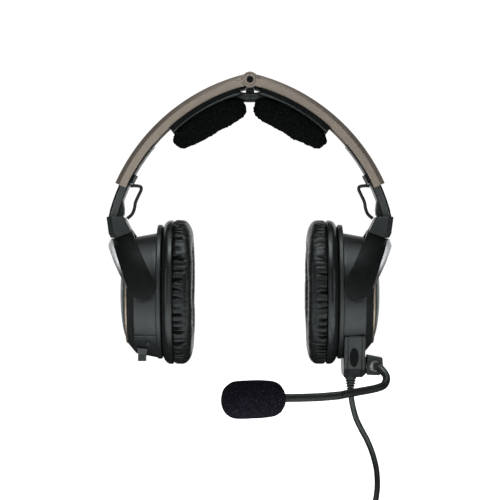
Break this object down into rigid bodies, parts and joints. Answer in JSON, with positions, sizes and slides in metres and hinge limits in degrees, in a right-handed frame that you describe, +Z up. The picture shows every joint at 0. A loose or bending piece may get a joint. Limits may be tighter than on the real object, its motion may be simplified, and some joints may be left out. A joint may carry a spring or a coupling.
{
  "type": "aviation headset",
  "caption": "Over-ear aviation headset: hinged metal headband with fleece pads, sliding yokes, tilting oval ear cups, flexible boom microphone and a coiled cord.",
  "frame": {"origin": "midpoint between the two ear cushions, on the line through the wearer's ears", "axes": "+X towards the wearer's left ear, the microphone side; -Y the way the wearer's face looks; +Z up through the headband hinge"},
  "size_m": [0.1986, 0.1651, 0.3185],
  "materials": {
    "bronze_paint": "satin metallic bronze paint",
    "dark_metal": "satin dark anodised",
    "steel": "satin",
    "black_plastic": "fine moulded grain",
    "soft_black": "matte rubber",
    "wire_black": "smooth jacket",
    "fleece": "short dense pile",
    "leather": "soft protein leather",
    "foam": "open-cell foam",
    "screen": "acoustic cloth",
    "trim_bronze": "satin champagne",
    "cap_grey": "satin grey metallic paint",
    "board_green": "solder mask",
    "button_black": "gloss",
    "nickel": "polished nickel"
  },
  "bodies": {
    "crown": {"hinge_pin": "steel", "torsion_spring": "steel", "bridge_post": "soft_black", "bridge_band": "soft_black"},
    "left_arm": {"left_arm": "bronze_paint", "left_pad_carrier": "black_plastic", "left_head_pad": "fleece", "left_wire_clip": "black_plastic"},
    "left_slider": {"left_slider_strip": "dark_metal", "left_yoke_knuckle": "black_plastic", "left_loop_wire": "wire_black"},
    "left_yoke": {"left_fork": "black_plastic", "left_fork_plate": "cap_grey", "left_pivot_pins": "steel"},
    "left_cup": {"left_cup_shell": "black_plastic", "left_baffle": "black_plastic", "left_cup_cap": "cap_grey", "left_trim_ring": "trim_bronze", "left_cushion_base": "black_plastic", "left_ear_cushion": "leather", "left_driver": "black_plastic", "left_ear_screen": "screen", "circuit_board": "board_green", "cable_module": "black_plastic", "strain_relief": "soft_black", "boom_washer": "steel", "cord": "wire_black", "cord_coil": "wire_black", "cord_tie": "soft_black", "cord_lead": "wire_black", "plug_body": "soft_black", "plug_pin": "nickel"},
    "right_arm": {"right_arm": "bronze_paint", "right_pad_carrier": "black_plastic", "right_head_pad": "fleece", "right_wire_clip": "black_plastic"},
    "right_slider": {"right_slider_strip": "dark_metal", "right_yoke_knuckle": "black_plastic", "right_loop_wire": "wire_black"},
    "right_yoke": {"right_fork": "black_plastic", "right_fork_plate": "cap_grey", "right_pivot_pins": "steel"},
    "right_cup": {"right_cup_shell": "black_plastic", "right_baffle": "black_plastic", "right_cup_cap": "cap_grey", "right_trim_ring": "trim_bronze", "right_cushion_base": "black_plastic", "right_ear_cushion": "leather", "right_driver": "black_plastic", "right_ear_screen": "screen", "cover_blank": "black_plastic", "cover_peg": "steel", "cover_clip": "steel"},
    "button": {"latch_button": "button_black"},
    "boom": {"boom_knuckle": "black_plastic", "boom_collar": "steel", "boom_tube": "wire_black", "gooseneck": "wire_black"},
    "mic": {"mic_case": "black_plastic", "windscreen": "foam"}
  },
  "joints": [
    {"name": "left_arm_hinge", "type": "hinge", "parent": "crown", "child": "left_arm", "pos_m": [0, 0, 0.1432], "axis": [0, -1, 0], "range_deg": [0, 16], "stiffness_Nm_per_rad": 1.2, "springref_deg": -6.88, "deforming": ["bridge_band"]},
    {"name": "left_slider_move", "type": "hinge", "parent": "left_arm", "child": "left_slider", "pos_m": [-0.0284, 0, 0.0205], "axis": [0, 1, 0], "range_deg": [-4.5, 6.5], "deforming": ["left_loop_wire"]},
    {"name": "left_yoke_swivel", "type": "hinge", "parent": "left_slider", "child": "left_yoke", "pos_m": [0.08668, 0, 0.03999], "axis": [0.3453, 0, 0.9385], "range_deg": [-8, 8]},
    {"name": "left_cup_tilt", "type": "hinge", "parent": "left_yoke", "child": "left_cup", "pos_m": [0.0737, 0, 0.0047], "axis": [0, 1, 0], "range_deg": [-10, 5]},
    {"name": "right_arm_hinge", "type": "hinge", "parent": "crown", "child": "right_arm", "pos_m": [0, 0, 0.1432], "axis": [0, 1, 0], "range_deg": [0, 16], "stiffness_Nm_per_rad": 1.2, "springref_deg": -6.88},
    {"name": "right_slider_move", "type": "hinge", "parent": "right_arm", "child": "right_slider", "pos_m": [0.0284, 0, 0.0205], "axis": [0, -1, 0], "range_deg": [-4.5, 6.5], "deforming": ["right_loop_wire"]},
    {"name": "right_yoke_swivel", "type": "hinge", "parent": "right_slider", "child": "right_yoke", "pos_m": [-0.08668, 0, 0.03999], "axis": [-0.3453, 0, 0.9385], "range_deg": [-8, 8]},
    {"name": "right_cup_tilt", "type": "hinge", "parent": "right_yoke", "child": "right_cup", "pos_m": [-0.0737, 0, 0.0047], "axis": [0, -1, 0], "range_deg": [-10, 5]},
    {"name": "boom_swivel", "type": "hinge", "parent": "left_cup", "child": "boom", "pos_m": [0.0795, -0.014, -0.049], "axis": [-1, 0, 0], "range_deg": [-30, 60]},
    {"name": "gooseneck_bend", "type": "hinge", "parent": "boom", "child": "mic", "pos_m": [0.04, -0.0798, -0.065], "axis": [0, 0, 1], "range_deg": [-20, 20], "deforming": ["gooseneck"]},
    {"name": "latch_button_press", "type": "slide", "parent": "left_cup", "child": "button", "axis": [0, 1, 0], "range_m": [0, 0.001], "stiffness_N_per_m": 1500, "springref_m": -0.0003}
  ],
  "couplings": [
    {"joint": "right_arm_hinge", "follows": "left_arm_hinge", "ratio": 1}
  ]
}
